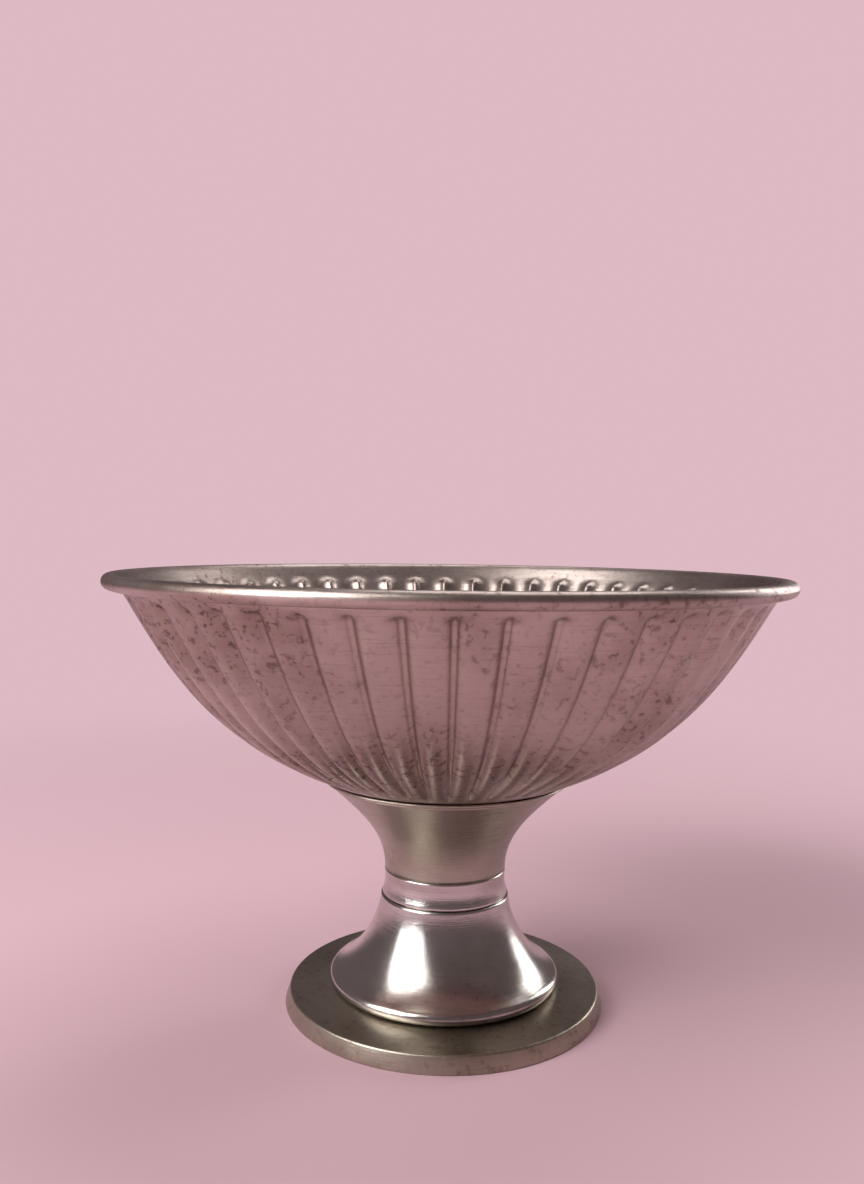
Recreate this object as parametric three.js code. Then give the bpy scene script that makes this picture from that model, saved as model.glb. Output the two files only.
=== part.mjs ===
// A footed fruit bowl in worn nickel silver: a fluted dish with a wired rim,
// on a stack of turned and spun shells drawn together by one rod.
// Millimetres, +Z up, origin on the floor under the middle of the foot.
import * as THREE from "three";

// Driving dimensions
const LOBES = 50; // pressed lobes round the dish
const FLUTE_DEPTH = 1.6; // depth of a groove at the rim's radius
const SHEET = 0.9; // thickness of the dish's sheet
const RIM_RADIUS = 125; // outside of the wired edge
const BEAD_RADIUS = 2.66; // outside of the rolled edge's own section
const WIRE_CLEARANCE = 0.35; // round the wire in the roll
const DISH_HEIGHT = 73.5; // from the dish's seat to the middle of the bead
const RIM_LEAN = THREE.MathUtils.degToRad(30); // the wall's lean from upright at the rim
const RIM_PULL = 31.7; // length of the wall curve's upper handle
const FLOOR_LEAN = THREE.MathUtils.degToRad(21.4); // the wall's rise from level at its seat
const FLOOR_PULL = 49.3; // length of its lower handle
const DISH_SEAT_RADIUS = 45.5;
const ROLL_END = THREE.MathUtils.degToRad(-140); // where the rolled edge stops, short of the wall

const SEAT_GAP = 0.3; // between stacked pieces
const FLANGE_RADIUS = 46.14;
const FLANGE_THICKNESS = 1.05;
const STEM_HEIGHT = 33.6;
const STEM_NECK_RADIUS = 22.9;
const STEM_TOP_RADIUS = 45;
const STEM_WALL = 1.6;
const COLLAR_HEIGHT = 9.5;
const COLLAR_FOOT_RADIUS = 24;
const COLLAR_TOP_RADIUS = 23.1;
const COLLAR_WAIST = 0.75; // how far the collar's side is drawn in
const COLLAR_BORE = 20.5;
const CONE_HEIGHT = 33.3;
const CONE_TOP_RADIUS = 24.1;
const CONE_BEAD_RADIUS = 2.5; // section of the bead round the cone's foot
const CONE_RADIUS = 43.5; // over that bead
const CONE_WALL = 1.6;
const FOOT_RADIUS = 60.08;
const FOOT_EDGE_HEIGHT = 6.04;
const FOOT_EDGE_DRAFT = 1.57; // the edge leans in by this much
const FOOT_EDGE_WALL = 2.4;
const FOOT_EDGE_ROUND = 0.5;
const FOOT_TOP_RISE = 1.1; // from the edge to the cone's seat
const FOOT_SHEET = 1.6;

const ROD_RADIUS = 3;
const ROD_CLEARANCE = 0.3;
const ROD_END = 1; // the rod's lower end above the floor
const ROD_ENGAGEMENT = 10; // length in the boss
const BOSS_RADIUS = 7;
const BOSS_HEIGHT = 14;
const WASHER_RADIUS = 14;
const WASHER_THICKNESS = 1.2;
const NUT_ACROSS_FLATS = 10;
const NUT_THICKNESS = 2.4;

const TURNED_SEGMENTS = 40;
const SMALL_SEGMENTS = 20;
const CURVE_STEPS = 8;
const BEAD_STEPS = 6;
const COLLAR_STEPS = 4;

// Levels, from the floor up
const footSeatZ = FOOT_EDGE_HEIGHT + FOOT_TOP_RISE;
const coneFootZ = footSeatZ + SEAT_GAP;
const coneTopZ = coneFootZ + CONE_HEIGHT;
const collarZ = coneTopZ + SEAT_GAP;
const collarTopZ = collarZ + COLLAR_HEIGHT;
const stemZ = collarTopZ + SEAT_GAP;
const stemTopZ = stemZ + STEM_HEIGHT;
const flangeZ = stemTopZ + SEAT_GAP;
const flangeTopZ = flangeZ + FLANGE_THICKNESS;
const dishZ = flangeTopZ + SEAT_GAP;
const bossTopZ = dishZ - SEAT_GAP;
const bossZ = bossTopZ - BOSS_HEIGHT;
const boreRadius = ROD_RADIUS + ROD_CLEARANCE;
const beadZ = dishZ + DISH_HEIGHT;
const beadCentreRadius = RIM_RADIUS - BEAD_RADIUS;

const point = (radius, z) => new THREE.Vector2(radius, z);

// Points of an arc about a centre, from one angle to another, both included.
function arc(centre, radius, from, to, steps) {
  return Array.from({ length: steps + 1 }, (_, i) => {
    const angle = from + ((to - from) * i) / steps;
    return point(centre.x + radius * Math.cos(angle), centre.y + radius * Math.sin(angle));
  });
}

// A profile moved sideways by a distance, to the right of its direction when positive.
function offset(points, distance) {
  return points.map((p, i) => {
    const before = points[Math.max(i - 1, 0)];
    const after = points[Math.min(i + 1, points.length - 1)];
    const along = after.clone().sub(before).normalize();
    return point(p.x + along.y * distance, p.y - along.x * distance);
  });
}

// A body turned about +Z from a closed outline in (radius, z).
function turned(outline, segments = TURNED_SEGMENTS) {
  const ring = THREE.ShapeUtils.area(outline) > 0 ? outline : [...outline].reverse();
  return new THREE.LatheGeometry([...ring, ring[0]], segments).rotateX(Math.PI / 2);
}

// A solid turned from an outline that starts and ends on the axis.
function turnedSolid(outline, segments = SMALL_SEGMENTS) {
  const ring = THREE.ShapeUtils.area(outline) > 0 ? outline : [...outline].reverse();
  return new THREE.LatheGeometry(ring, segments).rotateX(Math.PI / 2);
}

// The middle of the wired edge, and the directions of the wall where it meets the roll.
const beadCentre = point(beadCentreRadius, beadZ);
const rollInnerRadius = BEAD_RADIUS - SHEET;
const ROLL_START = Math.PI - RIM_LEAN;

// The dish's outer wall, from its seat to where it becomes the inside of the roll.
function wallCurve() {
  const foot = point(DISH_SEAT_RADIUS, dishZ);
  const rim = arc(beadCentre, rollInnerRadius, ROLL_START, ROLL_START, 1)[0];
  const footHandle = point(
    foot.x + FLOOR_PULL * Math.cos(FLOOR_LEAN),
    foot.y + FLOOR_PULL * Math.sin(FLOOR_LEAN),
  );
  const rimHandle = point(
    rim.x - RIM_PULL * Math.sin(RIM_LEAN),
    rim.y - RIM_PULL * Math.cos(RIM_LEAN),
  );
  return new THREE.CubicBezierCurve(foot, footHandle, rimHandle, rim);
}

// Places along the wall curve: the flutes rise from nothing, run, and end under a plain band.
const FLUTE_FOOT = 0.03;
const FLUTE_RUN = [0.08, 0.25, 0.42, 0.59, 0.75, 0.89];
const FLUTE_TOP = 0.935;

// Turn fractions of a fluted ring: a groove, then the two shoulders of each lobe's crest.
const SHOULDERS = [0, 0.27, 0.73];
const plainTurns = Array.from({ length: LOBES }, (_, i) => i / LOBES);
const flutedTurns = plainTurns.flatMap((turn) => SHOULDERS.map((share) => turn + share / LOBES));

// The dish as rings of points joined into one closed skin.
function dishGeometry() {
  const positions = [];
  const faces = [];
  const curve = wallCurve();

  function ring(p, normal, fluted) {
    const turns = fluted ? flutedTurns : plainTurns;
    const depth = fluted ? (FLUTE_DEPTH * p.x) / RIM_RADIUS : 0;
    const start = positions.length / 3;
    turns.forEach((turn, i) => {
      const inward = i % SHOULDERS.length === 0 ? depth : 0;
      const radius = p.x - normal.x * inward;
      const angle = turn * 2 * Math.PI - Math.PI / 2;
      const z = p.y - normal.y * inward;
      positions.push(radius * Math.cos(angle), radius * Math.sin(angle), z);
    });
    return { start, turns };
  }

  function pole(z) {
    positions.push(0, 0, z);
    return { start: positions.length / 3 - 1, turns: [0] };
  }

  // Two rings joined by triangles, each step taking the ring whose next edge has the earlier middle.
  function stitch(a, b) {
    const countA = a.turns.length;
    const countB = b.turns.length;
    const stepsA = countA > 1 ? countA : 0;
    const stepsB = countB > 1 ? countB : 0;
    const middle = (r, i) => (r.turns[i] + (i + 1 < r.turns.length ? r.turns[i + 1] : 1)) / 2;
    let i = 0;
    let j = 0;
    while (i < stepsA || j < stepsB) {
      const takeA = i < stepsA && (j >= stepsB || middle(a, i) <= middle(b, j));
      const pointA = a.start + (i % countA);
      const pointB = b.start + (j % countB);
      if (takeA) {
        faces.push(pointA, a.start + ((i + 1) % countA), pointB);
        i += 1;
      } else {
        faces.push(pointA, b.start + ((j + 1) % countB), pointB);
        j += 1;
      }
    }
  }

  const station = (t, side) => {
    const p = curve.getPoint(t);
    const along = curve.getTangent(t);
    const normal = point(along.y, -along.x);
    const fluted = FLUTE_RUN.includes(t);
    return [point(p.x - normal.x * side, p.y - normal.y * side), normal, fluted];
  };
  const places = [FLUTE_FOOT, ...FLUTE_RUN, FLUTE_TOP];
  const outerWall = places.map((t) => station(t, 0));
  const innerWall = places.map((t) => station(t, SHEET)).reverse();
  const plain = (p) => [p, point(0, 0), false];
  const rollInside = arc(beadCentre, rollInnerRadius, ROLL_START, ROLL_END, BEAD_STEPS);
  const rollOutside = arc(beadCentre, BEAD_RADIUS, ROLL_END, ROLL_START, BEAD_STEPS);

  const rings = [
    plain(point(DISH_SEAT_RADIUS, dishZ)),
    ...outerWall,
    ...rollInside.map(plain),
    ...rollOutside.map(plain),
    ...innerWall,
    plain(point(DISH_SEAT_RADIUS, dishZ + SHEET)),
  ].map(([p, normal, fluted]) => ring(p, normal, fluted));
  const skin = [pole(dishZ), ...rings, pole(dishZ + SHEET)];
  skin.slice(1).forEach((upper, i) => stitch(skin[i], upper));

  const geometry = new THREE.BufferGeometry();
  geometry.setAttribute("position", new THREE.Float32BufferAttribute(positions, 3));
  geometry.setIndex(faces);
  return geometry;
}

function rimWireGeometry() {
  const section = arc(beadCentre, rollInnerRadius - WIRE_CLEARANCE, 0, 2 * Math.PI, BEAD_STEPS);
  return turned(section.slice(0, -1), LOBES);
}

function bossGeometry() {
  const holeTopZ = bossZ + ROD_ENGAGEMENT + ROD_CLEARANCE;
  return turnedSolid([
    point(0, holeTopZ),
    point(boreRadius, holeTopZ),
    point(boreRadius, bossZ),
    point(BOSS_RADIUS, bossZ),
    point(BOSS_RADIUS, bossTopZ),
    point(0, bossTopZ),
  ]);
}

function washerOutline(bore, radius, z, thickness) {
  return [
    point(bore, z),
    point(radius, z),
    point(radius, z + thickness),
    point(bore, z + thickness),
  ];
}

// A flared trumpet: a narrow neck that opens out under the flange.
function stemGeometry() {
  const curve = new THREE.CubicBezierCurve(
    point(STEM_NECK_RADIUS, stemZ),
    point(STEM_NECK_RADIUS, stemZ + STEM_HEIGHT * 0.385),
    point(STEM_TOP_RADIUS * 0.711, stemZ + STEM_HEIGHT * 0.653),
    point(STEM_TOP_RADIUS, stemTopZ),
  );
  const outside = curve.getPoints(CURVE_STEPS);
  const inside = offset(outside, -STEM_WALL);
  inside[0].y = stemZ;
  inside[CURVE_STEPS].y = stemTopZ;
  inside[CURVE_STEPS].x = inside[CURVE_STEPS - 1].x + STEM_WALL;
  return turned([...outside, ...inside.reverse()]);
}

// A ring with a side drawn in a little at its waist.
function collarGeometry() {
  const side = Array.from({ length: COLLAR_STEPS + 1 }, (_, i) => {
    const share = i / COLLAR_STEPS;
    const straight = THREE.MathUtils.lerp(COLLAR_FOOT_RADIUS, COLLAR_TOP_RADIUS, share);
    return point(straight - COLLAR_WAIST * Math.sin(Math.PI * share), collarZ + share * COLLAR_HEIGHT);
  });
  return turned([...side, point(COLLAR_BORE, collarTopZ), point(COLLAR_BORE, collarZ)]);
}

// A concave cone that ends in a rounded bead on the foot.
function coneGeometry() {
  const bead = point(CONE_RADIUS - CONE_BEAD_RADIUS, coneFootZ + CONE_BEAD_RADIUS);
  const beadPoints = arc(bead, CONE_BEAD_RADIUS, -Math.PI / 2, Math.PI / 3, BEAD_STEPS);
  const start = beadPoints[BEAD_STEPS];
  const rise = coneTopZ - start.y;
  const run = start.x - CONE_TOP_RADIUS;
  const curve = new THREE.CubicBezierCurve(
    start,
    point(CONE_TOP_RADIUS + run * 0.5, start.y + rise * 0.16),
    point(CONE_TOP_RADIUS + run * 0.08, start.y + rise * 0.58),
    point(CONE_TOP_RADIUS, coneTopZ),
  );
  const outside = curve.getPoints(CURVE_STEPS);
  const inside = offset(outside, -CONE_WALL);
  inside[CURVE_STEPS].y = coneTopZ;
  inside[0].y = coneFootZ + CONE_BEAD_RADIUS;
  const foot = point(inside[0].x, coneFootZ);
  return turned([...beadPoints, ...outside.slice(1), ...inside.reverse(), foot]);
}

// A wide shallow dish turned upside down: a thick edge on the floor and a nearly flat top.
function footGeometry() {
  const edgeTop = point(FOOT_RADIUS - FOOT_EDGE_DRAFT, FOOT_EDGE_HEIGHT - FOOT_EDGE_ROUND);
  return turned([
    point(FOOT_RADIUS, 0),
    edgeTop,
    point(edgeTop.x - FOOT_EDGE_ROUND, FOOT_EDGE_HEIGHT),
    point(CONE_RADIUS, footSeatZ),
    point(boreRadius, footSeatZ),
    point(boreRadius, footSeatZ - FOOT_SHEET),
    point(CONE_RADIUS, footSeatZ - FOOT_SHEET),
    point(edgeTop.x - FOOT_EDGE_WALL, FOOT_EDGE_HEIGHT - FOOT_SHEET),
    point(FOOT_RADIUS - FOOT_EDGE_WALL, 0),
  ]);
}

const washerZ = footSeatZ - FOOT_SHEET - SEAT_GAP - WASHER_THICKNESS;
const nutZ = washerZ - SEAT_GAP - NUT_THICKNESS;

function nutGeometry() {
  const corner = NUT_ACROSS_FLATS / 2 / Math.cos(Math.PI / 6);
  const hexagon = new THREE.Shape(arc(point(0, 0), corner, 0, 2 * Math.PI, 6).slice(0, -1));
  hexagon.holes.push(new THREE.Path().absarc(0, 0, boreRadius, 0, 2 * Math.PI, true));
  const nut = new THREE.ExtrudeGeometry(hexagon, {
    depth: NUT_THICKNESS,
    bevelEnabled: false,
    curveSegments: SMALL_SEGMENTS / 2,
  });
  return nut.translate(0, 0, nutZ);
}

function rodGeometry() {
  const topZ = bossZ + ROD_ENGAGEMENT;
  return turnedSolid([
    point(0, ROD_END),
    point(ROD_RADIUS, ROD_END),
    point(ROD_RADIUS, topZ),
    point(0, topZ),
  ]);
}

const metal = (color, roughness, metalness = 1) => () =>
  new THREE.MeshStandardMaterial({ color, roughness, metalness });
const patina = metal(0x9c8a84, 0.42);
const bright = metal(0xb9b3ab, 0.22);
const satin = metal(0x7d786d, 0.38);
const steel = metal(0x6f6a64, 0.55);

const part = new THREE.Group();

function add(name, geometry, material) {
  const mesh = new THREE.Mesh(geometry, material());
  mesh.name = name;
  part.add(mesh);
}

const flangeOutline = washerOutline(
  BOSS_RADIUS + ROD_CLEARANCE,
  FLANGE_RADIUS,
  flangeZ,
  FLANGE_THICKNESS,
);
add("bowl", dishGeometry(), patina);
add("rim_wire", rimWireGeometry(), steel);
add("bowl_boss", bossGeometry(), satin);
add("seat_flange", turned(flangeOutline), satin);
add("upper_stem", stemGeometry(), satin);
add("stem_collar", collarGeometry(), bright);
add("foot_cone", coneGeometry(), bright);
add("foot_disc", footGeometry(), satin);
add("tie_rod", rodGeometry(), steel);
add("foot_washer", turned(washerOutline(boreRadius, WASHER_RADIUS, washerZ, WASHER_THICKNESS)), steel);
add("foot_nut", nutGeometry(), steel);

export default part;
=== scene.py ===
"""A footed fruit bowl in worn nickel silver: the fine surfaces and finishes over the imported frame."""

import math

import bpy
import numpy as np
from mathutils import Matrix, Vector


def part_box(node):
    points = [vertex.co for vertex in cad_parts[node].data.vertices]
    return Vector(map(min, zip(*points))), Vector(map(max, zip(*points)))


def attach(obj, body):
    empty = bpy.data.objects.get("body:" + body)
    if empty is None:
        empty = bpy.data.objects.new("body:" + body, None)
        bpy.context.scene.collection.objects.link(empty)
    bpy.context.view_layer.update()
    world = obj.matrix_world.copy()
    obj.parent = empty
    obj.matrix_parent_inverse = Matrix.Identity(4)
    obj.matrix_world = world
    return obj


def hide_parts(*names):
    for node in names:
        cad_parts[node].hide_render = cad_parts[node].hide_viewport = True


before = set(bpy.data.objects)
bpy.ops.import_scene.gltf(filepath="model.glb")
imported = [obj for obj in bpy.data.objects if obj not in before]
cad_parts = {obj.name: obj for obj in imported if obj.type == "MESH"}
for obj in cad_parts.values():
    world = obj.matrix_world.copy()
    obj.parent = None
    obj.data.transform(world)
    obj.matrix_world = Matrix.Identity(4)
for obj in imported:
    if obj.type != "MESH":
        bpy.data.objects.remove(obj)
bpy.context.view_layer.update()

MM = 0.001

# The dish, in millimetres and radians, with plain numbers for counts, shares and powers
LOBES = 50
FLUTE_DEPTH = 4.0
CROWN_SHARE = 0.6
CROWN_POWER = 2
GROOVE_POWER = 5
SHEET = 0.9
RIM_RADIUS = 124.7
BEAD_RADIUS = 2.66
DISH_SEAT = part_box("bowl")[0][2] / MM
BEAD_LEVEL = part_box("bowl")[1][2] / MM - BEAD_RADIUS
DISH_SEAT_RADIUS = 45.5
RIM_LEAN = math.radians(30)
RIM_PULL = 31.7
FLOOR_LEAN = math.radians(21.4)
FLOOR_PULL = 49.3
ROLL_END = math.radians(-140)
POLE_RADIUS = 2.0

# Shares of the wall curve over which the flutes rise and die away, and where its rows change spacing
FLUTE_START = (0.025, 0.085)
FLUTE_STOP = (0.895, 0.94)
FOOT_ZONE_END = 0.1
RIM_ZONE_START = 0.87

# The stem and the foot, in millimetres and radians, with their curves' handles as shares
SHELL_WALL = 1.6
STEM_NECK_RADIUS = 22.9
STEM_HANDLE_RISES = (0.385, 0.653)
STEM_HANDLE_WIDTH = 0.711
FLANGE_BORE = 7.3
COLLAR_TAPER = 0.9
COLLAR_WAIST = 0.75
COLLAR_CORNER = 0.35
COLLAR_CORNER_RATE = 24
COLLAR_BORE = 20.5
CONE_BEAD = 2.5
CONE_TOP_RADIUS = 24.1
CONE_HANDLE_RISES = (0.16, 0.58)
CONE_HANDLE_RUNS = (0.5, 0.08)
FOOT_DRAFT = 1.57
FOOT_EDGE = 6.04
FOOT_SHOULDER = 0.9
FOOT_SHOULDER_START = 0.1
FOOT_TOE = 0.5
FOOT_WALL = 2.4
FOOT_SEAT_RADIUS = 43.5
FOOT_BORE = 3.3

# Rows and columns of the surfaces
COLUMNS_PER_LOBE = 14
FLOOR_ROWS = 7
FOOT_ZONE_ROWS = 7
WALL_ROWS = 21
RIM_ZONE_ROWS = 12
ROLL_INSIDE_STEPS = 14
ROLL_OUTSIDE_STEPS = 20
TURNED_COLUMNS = 256
CURVE_ROWS = 40
COLLAR_ROWS = 24
FLANGE_EDGE_STEPS = 8
CONE_BEAD_STEPS = 16
FOOT_SHOULDER_STEPS = 10
FOOT_TOE_STEPS = 6


def new_mesh(name, vertices, faces, smooth=True):
    """An object at the origin whose mesh has the given points, in metres."""
    mesh = bpy.data.meshes.new(name)
    mesh.from_pydata(vertices.tolist(), [], faces)
    mesh.polygons.foreach_set("use_smooth", np.full(len(mesh.polygons), smooth))
    mesh.update()
    made = bpy.data.objects.new(name, mesh)
    bpy.context.scene.collection.objects.link(made)
    return made


def ring_faces(rows, columns, closed=False):
    """Quads between neighbouring rings, each closed on itself. Closed joins the last to the first too."""
    bands = rows if closed else rows - 1
    row, column = np.meshgrid(np.arange(bands), np.arange(columns), indexing="ij")
    here = row * columns
    above = (row + 1) % rows * columns
    after = (column + 1) % columns
    quads = np.stack([here + column, here + after, above + after, above + column], -1)
    return quads.reshape(-1, 4).tolist()


def round_axis(radius, level, angle):
    """Points (r cos a, r sin a, z) in metres, from a radius and a level in millimetres."""
    across = radius * MM * np.cos(angle)
    along = radius * MM * np.sin(angle)
    return np.stack([across, along, level * MM + 0 * angle], -1).reshape(-1, 3)


def turned(name, outline):
    """The closed outline (radius, z) turned round +Z, its points taken anticlockwise so faces look out."""
    following = np.roll(outline, -1, axis=0)
    area = np.sum(outline[:, 0] * following[:, 1] - following[:, 0] * outline[:, 1])
    if area < 0:
        outline = outline[::-1]
    angle = np.linspace(0, 2 * np.pi, TURNED_COLUMNS, endpoint=False)
    points = round_axis(outline[:, :1], outline[:, 1:], angle)
    return new_mesh(name, points, ring_faces(len(outline), TURNED_COLUMNS, closed=True))


def arc(centre, radius, start, stop, steps):
    """Points on a circle about the centre, from one angle to the other."""
    angle = np.linspace(start, stop, steps + 1)
    return np.stack([centre[0] + radius * np.cos(angle), centre[1] + radius * np.sin(angle)], -1)


def bezier(p0, p1, p2, p3, t):
    """Points of a cubic curve at each t."""
    t = np.asarray(t)[:, None]
    ends = (1 - t) ** 3 * np.array(p0) + t**3 * np.array(p3)
    return ends + 3 * (1 - t) ** 2 * t * np.array(p1) + 3 * (1 - t) * t**2 * np.array(p2)


def side_step(points, distance):
    """Each point moved square to the curve, to the right of its direction when positive."""
    along = np.gradient(points, axis=0)
    along /= np.linalg.norm(along, axis=1)[:, None]
    return points + distance * np.stack([along[:, 1], -along[:, 0]], -1)


def smooth_step(low, high, value):
    """0 below low, 1 above high, and s^2 (3 - 2 s) between, where s is the share of the way."""
    share = np.clip((value - low) / (high - low), 0, 1)
    return share * share * (3 - 2 * share)


def limits(node):
    """(outer radius, lowest z, highest z) of a CAD node, in millimetres."""
    low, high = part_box(node)
    return high[0] / MM, low[2] / MM, high[2] / MM


def dish_wall(t, roll_centre, roll_radius, roll_start):
    """The dish's outer wall: a cubic curve from the seat to where it meets the inside of the roll."""
    seat = np.array([DISH_SEAT_RADIUS, DISH_SEAT])
    rim = arc(roll_centre, roll_radius, roll_start, roll_start, 1)[0]
    seat_handle = seat + FLOOR_PULL * np.array([math.cos(FLOOR_LEAN), math.sin(FLOOR_LEAN)])
    rim_handle = rim - RIM_PULL * np.array([math.sin(RIM_LEAN), math.cos(RIM_LEAN)])
    return bezier(seat, seat_handle, rim_handle, rim, t)


def dish_outline():
    """The sheet's outline from the pole below to the pole inside, and how far each point sinks in a groove:
    along the wall's normal, in proportion to its radius, and not on the floor, plain bands and roll."""
    centre = np.array([RIM_RADIUS - BEAD_RADIUS, BEAD_LEVEL])
    roll_radius = BEAD_RADIUS - SHEET
    roll_start = math.pi - RIM_LEAN
    t = np.concatenate([
        np.linspace(0, FOOT_ZONE_END, FOOT_ZONE_ROWS, endpoint=False),
        np.linspace(FOOT_ZONE_END, RIM_ZONE_START, WALL_ROWS, endpoint=False),
        np.linspace(RIM_ZONE_START, 1, RIM_ZONE_ROWS),
    ])
    wall = dish_wall(t, centre, roll_radius, roll_start)
    inside = side_step(wall, -SHEET)
    inside[0, 1] = DISH_SEAT + SHEET
    envelope = smooth_step(*FLUTE_START, t) * (1 - smooth_step(*FLUTE_STOP, t))
    sink = (side_step(wall, 1) - wall) * (envelope * wall[:, 0] / RIM_RADIUS)[:, None]

    roll = np.vstack([
        arc(centre, roll_radius, roll_start, ROLL_END, ROLL_INSIDE_STEPS)[1:],
        arc(centre, BEAD_RADIUS, ROLL_END, roll_start, ROLL_OUTSIDE_STEPS)[:-1],
    ])
    floor_radii = np.linspace(POLE_RADIUS, DISH_SEAT_RADIUS, FLOOR_ROWS, endpoint=False)
    outer_floor = np.stack([floor_radii, np.full(FLOOR_ROWS, DISH_SEAT)], -1)
    inner_floor = np.stack([floor_radii[::-1], np.full(FLOOR_ROWS, DISH_SEAT + SHEET)], -1)
    outline = np.vstack([outer_floor, wall, roll, inside[::-1], inner_floor])
    level = np.zeros((FLOOR_ROWS, 2))
    return outline, np.vstack([level, sink, np.zeros_like(roll), sink[::-1], level])


def dish():
    """The fluted sheet. A point is the outline less its sink times depth(x), where x runs from -1 to 1 over
    a lobe, and depth is a broad crown plus a narrower groove, d (0.6 x^2 + 0.4 |x|^5)."""
    outline, sink = dish_outline()
    rows, columns = len(outline), LOBES * COLUMNS_PER_LOBE
    turn = np.arange(columns) / columns
    across = 2 * ((turn * LOBES) % 1) - 1
    groove = CROWN_SHARE * across**CROWN_POWER + (1 - CROWN_SHARE) * np.abs(across) ** GROOVE_POWER
    depth = FLUTE_DEPTH * groove
    angle = 2 * np.pi * turn - np.pi / 2
    radius = outline[:, :1] - sink[:, :1] * depth
    level = outline[:, 1:] - sink[:, 1:] * depth
    poles = np.array([[0, 0, DISH_SEAT * MM], [0, 0, (DISH_SEAT + SHEET) * MM]])
    points = np.vstack([round_axis(radius, level, angle), poles])

    column = np.arange(columns)
    after = (column + 1) % columns
    low_pole = np.full(columns, rows * columns)
    last_row = (rows - 1) * columns
    faces = ring_faces(rows, columns)
    faces += np.stack([low_pole, after, column], -1).tolist()
    faces += np.stack([low_pole + 1, last_row + column, last_row + after], -1).tolist()
    return new_mesh("fluted_dish", points, faces)


def shell(name, outside, lowest, highest, edge=(), heel=None):
    """A wall inside the curve given, between two levels. The edge comes before the curve, and the heel is
    the level that the inside drops straight to from its lowest point."""
    inside = side_step(outside, -SHELL_WALL)
    inside[:, 1] = np.clip(inside[:, 1], lowest, highest)
    pieces = [edge, outside[1:]] if len(edge) else [outside]
    pieces.append(inside[::-1])
    if heel is not None:
        pieces.append([(inside[0, 0], heel)])
    return turned(name, np.vstack(pieces))


def stem():
    """A trumpet: a cubic curve from the neck to the flare, and the same curve a wall's thickness inside."""
    top_radius, low, high = limits("upper_stem")
    rise_low, rise_high = (low + (high - low) * share for share in STEM_HANDLE_RISES)
    outside = bezier(
        (STEM_NECK_RADIUS, low),
        (STEM_NECK_RADIUS, rise_low),
        (top_radius * STEM_HANDLE_WIDTH, rise_high),
        (top_radius, high),
        np.linspace(0, 1, CURVE_ROWS),
    )
    return shell("stem_trumpet", outside, low, high)


def flange():
    """A thin plate whose edge is a half circle."""
    radius, low, high = limits("seat_flange")
    half = (high - low) / 2
    edge = arc((radius - half, low + half), half, -math.pi / 2, math.pi / 2, FLANGE_EDGE_STEPS)
    return turned("seat_plate", np.vstack([[(FLANGE_BORE, low)], edge, [(FLANGE_BORE, high)]]))


def collar():
    """A tapered ring drawn in at the waist by a half sine, with corners eased by an exponential."""
    radius, low, high = limits("stem_collar")
    share = np.linspace(0, 1, COLLAR_ROWS)
    side = radius - COLLAR_TAPER * share - COLLAR_WAIST * np.sin(np.pi * share)
    corners = np.exp(-share * COLLAR_CORNER_RATE) + np.exp(-(1 - share) * COLLAR_CORNER_RATE)
    outside = np.stack([side - COLLAR_CORNER * corners, low + share * (high - low)], -1)
    return turned("collar_ring", np.vstack([outside, [(COLLAR_BORE, high), (COLLAR_BORE, low)]]))


def cone():
    """A bead, then a concave cubic curve up to the collar."""
    radius, low, high = limits("foot_cone")
    bead = arc((radius - CONE_BEAD, low + CONE_BEAD), CONE_BEAD, -math.pi / 2, math.pi / 3, CONE_BEAD_STEPS)
    start = bead[-1]
    handles = [
        (CONE_TOP_RADIUS + (start[0] - CONE_TOP_RADIUS) * run, start[1] + (high - start[1]) * rise)
        for run, rise in zip(CONE_HANDLE_RUNS, CONE_HANDLE_RISES)
    ]
    outside = bezier(start, *handles, (CONE_TOP_RADIUS, high), np.linspace(0, 1, CURVE_ROWS))
    return shell("cone_shell", outside, low + CONE_BEAD, high, edge=bead, heel=low)


def foot():
    """A shallow dish upside down: a drafted edge with rounded corners and a nearly flat top."""
    radius, low, high = limits("foot_disc")
    shoulder_centre = (radius - FOOT_DRAFT - FOOT_SHOULDER, FOOT_EDGE - FOOT_SHOULDER)
    shoulder = arc(shoulder_centre, FOOT_SHOULDER, FOOT_SHOULDER_START, math.pi / 2, FOOT_SHOULDER_STEPS)
    toe = arc((radius - FOOT_TOE, low + FOOT_TOE), FOOT_TOE, -math.pi / 2, 0, FOOT_TOE_STEPS)
    top = [(FOOT_SEAT_RADIUS, high), (FOOT_BORE, high)]
    below = [(FOOT_BORE, high - SHELL_WALL), (FOOT_SEAT_RADIUS, high - SHELL_WALL)]
    inner_edge = [(radius - FOOT_DRAFT - FOOT_WALL, FOOT_EDGE - SHELL_WALL), (radius - FOOT_WALL, low)]
    return turned("foot_dish", np.vstack([toe, shoulder, top, below, inner_edge]))


# Finishes, with noise levels and shares from 0 to 1, and the height of the marks in metres

MARK_SCALE = 60.0
MARK_DETAIL = (6.0, 0.7)
PATCH_DETAIL = (5.0, 0.6)
SPECK_DETAIL = (3.0, 0.6)
PATCH_RANGE = (0.36, 0.68)
SPECK_RANGE = (0.52, 0.68)
SPECKS_IN_PATCHES = 0.8
SPECKS_ELSEWHERE = 0.2
STREAK_RANGE = (0.5, 0.8)
STREAK_SHARE = 0.35
SPECK_ROUGHNESS = 0.25
MARK_HEIGHT = 0.0004


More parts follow.
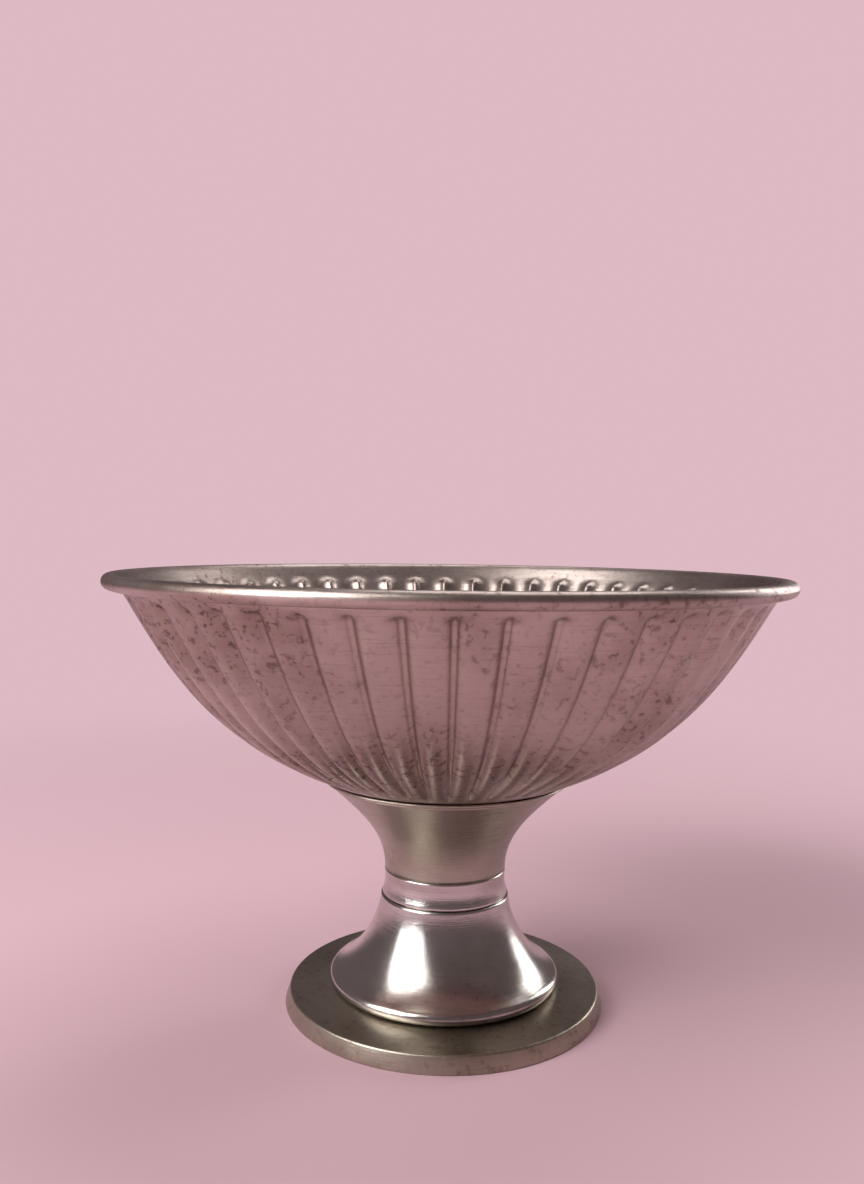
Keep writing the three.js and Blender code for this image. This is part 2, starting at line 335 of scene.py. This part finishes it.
def node_group(name, inputs, outputs):
    """A shader node group with named value inputs and outputs."""
    group = bpy.data.node_groups.new(name, "ShaderNodeTree")
    for label, default in inputs:
        socket = group.interface.new_socket(label, in_out="INPUT", socket_type="NodeSocketFloat")
        socket.default_value = default
    for label in outputs:
        group.interface.new_socket(label, in_out="OUTPUT", socket_type="NodeSocketFloat")
    return group, group.nodes.new("NodeGroupInput"), group.nodes.new("NodeGroupOutput")


def fill(tree, socket, value):
    """A socket takes a link from another socket, or a plain value."""
    if isinstance(value, bpy.types.NodeSocket):
        tree.links.new(value, socket)
    else:
        socket.default_value = value


def math_node(tree, operation, first, second):
    """Two values, or sockets, put through one operation."""
    node = tree.nodes.new("ShaderNodeMath")
    node.operation = operation
    fill(tree, node.inputs[0], first)
    fill(tree, node.inputs[1], second)
    return node.outputs[0]


def noise(tree, vector, scale, detail, roughness):
    """Fractal noise, from about 0 to 1."""
    node = tree.nodes.new("ShaderNodeTexNoise")
    node.inputs["Detail"].default_value = detail
    node.inputs["Roughness"].default_value = roughness
    fill(tree, node.inputs["Scale"], scale)
    tree.links.new(vector, node.inputs["Vector"])
    return node.outputs["Fac"]


def ramp(tree, value, low, high):
    """0 at low and 1 at high, smoothly between."""
    node = tree.nodes.new("ShaderNodeMapRange")
    node.interpolation_type = "SMOOTHSTEP"
    node.inputs["From Min"].default_value = low
    node.inputs["From Max"].default_value = high
    tree.links.new(value, node.inputs["Value"])
    return node.outputs["Result"]


def turning_marks_group():
    """Fine marks round the piece: noise on coordinates stretched along z."""
    group, given, made = node_group("turning marks", [("Scale", 40.0), ("Stretch", 30.0)], ["Marks"])
    place = group.nodes.new("ShaderNodeTexCoord")
    apart = group.nodes.new("ShaderNodeSeparateXYZ")
    joined = group.nodes.new("ShaderNodeCombineXYZ")
    group.links.new(place.outputs["Object"], apart.inputs[0])
    group.links.new(apart.outputs["X"], joined.inputs["X"])
    group.links.new(apart.outputs["Y"], joined.inputs["Y"])
    stretched = math_node(group, "MULTIPLY", apart.outputs["Z"], given.outputs["Stretch"])
    group.links.new(stretched, joined.inputs["Z"])
    marks = noise(group, joined.outputs[0], given.outputs["Scale"], *MARK_DETAIL)
    group.links.new(marks, made.inputs["Marks"])
    return group


def tarnish_group():
    """Broad patches, and small dark specks that gather in them."""
    inputs = [("Patch Scale", 18.0), ("Speck Scale", 420.0)]
    group, given, made = node_group("tarnish", inputs, ["Patches", "Specks"])
    place = group.nodes.new("ShaderNodeTexCoord").outputs["Object"]
    patches = ramp(group, noise(group, place, given.outputs["Patch Scale"], *PATCH_DETAIL), *PATCH_RANGE)
    fine = ramp(group, noise(group, place, given.outputs["Speck Scale"], *SPECK_DETAIL), *SPECK_RANGE)
    in_patches = math_node(group, "MULTIPLY", patches, SPECKS_IN_PATCHES)
    share = math_node(group, "ADD", in_patches, SPECKS_ELSEWHERE)
    group.links.new(patches, made.inputs["Patches"])
    group.links.new(math_node(group, "MULTIPLY", fine, share), made.inputs["Specks"])
    return group


TURNING_MARKS = turning_marks_group()
TARNISH = tarnish_group()


def placed(tree, group, **values):
    """A group in a material, with its own values for the inputs that are named."""
    node = tree.nodes.new("ShaderNodeGroup")
    node.node_tree = group
    for label, value in values.items():
        node.inputs[label].default_value = value
    return node


def mixed(tree, share, first, second):
    """A colour between two, of which the first is a colour or a socket."""
    node = tree.nodes.new("ShaderNodeMix")
    node.data_type = "RGBA"
    tree.links.new(share, node.inputs["Factor"])
    colours = [socket for socket in node.inputs if socket.type == "RGBA"]
    for socket, value in zip(colours, (first, second)):
        fill(tree, socket, (*value, 1) if isinstance(value, tuple) else value)
    return next(socket for socket in node.outputs if socket.type == "RGBA")


def metal(name, clean, dull, speck, roughness, spread, marks, speck_share, stretch=30.0):
    """A worn metal: two tones in patches, dark specks, and turning marks in roughness and bump."""
    material = bpy.data.materials.new(name)
    material.use_nodes = True
    tree = material.node_tree
    shader = tree.nodes["Principled BSDF"]
    shader.inputs["Metallic"].default_value = 1.0
    lines = placed(tree, TURNING_MARKS, Scale=MARK_SCALE, Stretch=stretch).outputs["Marks"]
    stains = placed(tree, TARNISH)
    tone = mixed(tree, stains.outputs["Patches"], clean, dull)
    specks = math_node(tree, "MULTIPLY", stains.outputs["Specks"], speck_share)
    tone = mixed(tree, specks, tone, speck)
    streaks = math_node(tree, "MULTIPLY", ramp(tree, lines, *STREAK_RANGE), STREAK_SHARE)
    tone = mixed(tree, streaks, tone, speck)
    tree.links.new(tone, shader.inputs["Base Color"])
    rough = math_node(tree, "MULTIPLY", lines, spread)
    rough = math_node(tree, "ADD", rough, roughness - spread / 2)
    rough = math_node(tree, "ADD", rough, math_node(tree, "MULTIPLY", specks, SPECK_ROUGHNESS))
    tree.links.new(rough, shader.inputs["Roughness"])
    bump = tree.nodes.new("ShaderNodeBump")
    bump.inputs["Strength"].default_value = marks
    bump.inputs["Distance"].default_value = MARK_HEIGHT
    tree.links.new(lines, bump.inputs["Height"])
    tree.links.new(bump.outputs["Normal"], shader.inputs["Normal"])
    return material


FINISHES = {
    "tarnished_dish": metal(
        "tarnished dish",
        clean=(0.52, 0.44, 0.4),
        dull=(0.34, 0.26, 0.23),
        speck=(0.1, 0.065, 0.05),
        roughness=0.33,
        spread=0.2,
        marks=0.25,
        speck_share=0.8,
    ),
    "satin_stem": metal(
        "satin stem",
        clean=(0.5, 0.47, 0.4),
        dull=(0.36, 0.33, 0.27),
        speck=(0.1, 0.08, 0.06),
        roughness=0.3,
        spread=0.22,
        marks=0.4,
        speck_share=0.3,
        stretch=60.0,
    ),
    "polished_stem": metal(
        "polished stem",
        clean=(0.66, 0.63, 0.6),
        dull=(0.5, 0.46, 0.42),
        speck=(0.12, 0.1, 0.08),
        roughness=0.17,
        spread=0.12,
        marks=0.15,
        speck_share=0.25,
        stretch=50.0,
    ),
    "satin_foot": metal(
        "satin foot",
        clean=(0.46, 0.42, 0.35),
        dull=(0.3, 0.26, 0.2),
        speck=(0.1, 0.07, 0.05),
        roughness=0.36,
        spread=0.2,
        marks=0.3,
        speck_share=0.6,
    ),
    "inner_steel": metal(
        "plain steel",
        clean=(0.36, 0.35, 0.33),
        dull=(0.25, 0.23, 0.2),
        speck=(0.1, 0.08, 0.07),
        roughness=0.45,
        spread=0.2,
        marks=0.2,
        speck_share=0.4,
    ),
}
INNER_PIECES = ("rim_wire", "bowl_boss", "tie_rod", "foot_washer", "foot_nut")


def dress(piece, node, slot):
    """A piece stands for a CAD node, on its body, in its finish."""
    piece.data.materials.append(FINISHES[slot])
    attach(piece, "root")
    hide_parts(node)


dress(dish(), "bowl", "tarnished_dish")
dress(flange(), "seat_flange", "satin_stem")
dress(stem(), "upper_stem", "satin_stem")
dress(collar(), "stem_collar", "polished_stem")
dress(cone(), "foot_cone", "polished_stem")
dress(foot(), "foot_disc", "satin_foot")

for node_name in INNER_PIECES:
    for finish_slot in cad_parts[node_name].material_slots:
        finish_slot.material = FINISHES["inner_steel"]

# Surroundings, in metres

BACKGROUND = (0.72, 0.49, 0.55)
FLOOR_COLOUR = (0.72, 0.47, 0.53)
FLOOR_ROUGHNESS = 0.8
FLOOR_SIZE = 6.0
FLOOR_FADE = (0.15, 0.75)
ROOM_COLOUR = (0.36, 0.28, 0.29)
ROOM_STRENGTH = 0.4


def floor():
    """A pale floor that throws pink light on the metal, and fades into the background for the camera."""
    half = FLOOR_SIZE / 2
    points = np.array([(-half, -half, 0), (half, -half, 0), (half, half, 0), (-half, half, 0)])
    plane = new_mesh("floor", points, [(0, 1, 2, 3)], smooth=False)
    material = bpy.data.materials.new("pale floor")
    material.use_nodes = True
    tree = material.node_tree
    shader = tree.nodes["Principled BSDF"]
    shader.inputs["Base Color"].default_value = (*FLOOR_COLOUR, 1)
    shader.inputs["Roughness"].default_value = FLOOR_ROUGHNESS
    place = tree.nodes.new("ShaderNodeTexCoord").outputs["Object"]
    reach = tree.nodes.new("ShaderNodeVectorMath")
    reach.operation = "LENGTH"
    tree.links.new(place, reach.inputs[0])
    seen = tree.nodes.new("ShaderNodeLightPath").outputs["Is Camera Ray"]
    far = math_node(tree, "MULTIPLY", ramp(tree, reach.outputs["Value"], *FLOOR_FADE), seen)
    glow = tree.nodes.new("ShaderNodeEmission")
    glow.inputs["Color"].default_value = (*BACKGROUND, 1)
    mix = tree.nodes.new("ShaderNodeMixShader")
    tree.links.new(far, mix.inputs["Fac"])
    tree.links.new(shader.outputs[0], mix.inputs[1])
    tree.links.new(glow.outputs[0], mix.inputs[2])
    tree.links.new(mix.outputs[0], tree.nodes["Material Output"].inputs["Surface"])
    plane.data.materials.append(material)


def surroundings():
    """A pink background for the camera, and a dim warm room for the metal to reflect."""
    world = bpy.data.worlds.new("room")
    world.use_nodes = True
    bpy.context.scene.world = world
    tree = world.node_tree
    tree.nodes.clear()
    surface = tree.nodes.new("ShaderNodeOutputWorld")
    mix = tree.nodes.new("ShaderNodeMixShader")
    seen = tree.nodes.new("ShaderNodeBackground")
    room = tree.nodes.new("ShaderNodeBackground")
    path = tree.nodes.new("ShaderNodeLightPath")
    seen.inputs["Color"].default_value = (*BACKGROUND, 1)
    room.inputs["Color"].default_value = (*ROOM_COLOUR, 1)
    room.inputs["Strength"].default_value = ROOM_STRENGTH
    tree.links.new(path.outputs["Is Camera Ray"], mix.inputs["Fac"])
    tree.links.new(room.outputs[0], mix.inputs[1])
    tree.links.new(seen.outputs[0], mix.inputs[2])
    tree.links.new(mix.outputs[0], surface.inputs["Surface"])


def lamp(name, place, target, size, power):
    """A soft rectangle of light that faces its target."""
    data = bpy.data.lights.new(name, "AREA")
    data.shape = "RECTANGLE"
    data.size, data.size_y = size
    data.energy = power
    made = bpy.data.objects.new(name, data)
    made.location = place
    made.rotation_euler = (Vector(target) - Vector(place)).to_track_quat("-Z", "Y").to_euler()
    bpy.context.scene.collection.objects.link(made)


# The camera, in metres and radians, with its sensor in millimetres
CAMERA_PLACE = (-0.00617, -0.38237, 0.17605)
CAMERA_PITCH = 0.055
CAMERA_ROLL = 0.012
CAMERA_SENSOR = 24
CAMERA_CLIP = 0.01
FOCAL_PIXELS = 1015.95
IMAGE_HEIGHT = 1184


def camera():
    """The photograph's view, as position, pitch and roll found from the rim, the foot and the joints."""
    forward = Vector((0, math.cos(CAMERA_PITCH), -math.sin(CAMERA_PITCH)))
    right = Vector((1, 0, 0))
    up = right.cross(forward)
    across = math.cos(CAMERA_ROLL) * right + math.sin(CAMERA_ROLL) * up
    upward = -math.sin(CAMERA_ROLL) * right + math.cos(CAMERA_ROLL) * up
    data = bpy.data.cameras.new("camera")
    data.sensor_fit = "VERTICAL"
    data.sensor_height = CAMERA_SENSOR
    data.lens = CAMERA_SENSOR * FOCAL_PIXELS / IMAGE_HEIGHT
    data.clip_start = CAMERA_CLIP
    made = bpy.data.objects.new("camera", data)
    turn = Matrix((across, upward, -forward)).transposed()
    made.matrix_world = Matrix.Translation(Vector(CAMERA_PLACE)) @ turn.to_4x4()
    bpy.context.scene.collection.objects.link(made)
    bpy.context.scene.camera = made


floor()
surroundings()
lamp("window", place=(-1.1, -0.7, 0.9), target=(0, 0, 0.08), size=(1.0, 1.2), power=26)
lamp("sky", place=(0.3, 0.5, 1.6), target=(0, 0, 0.1), size=(1.2, 1.2), power=9)
lamp("edge", place=(1.0, 0.7, 0.5), target=(0, 0, 0.15), size=(0.3, 0.8), power=5)
camera()
bpy.context.scene.view_settings.view_transform = "Standard"
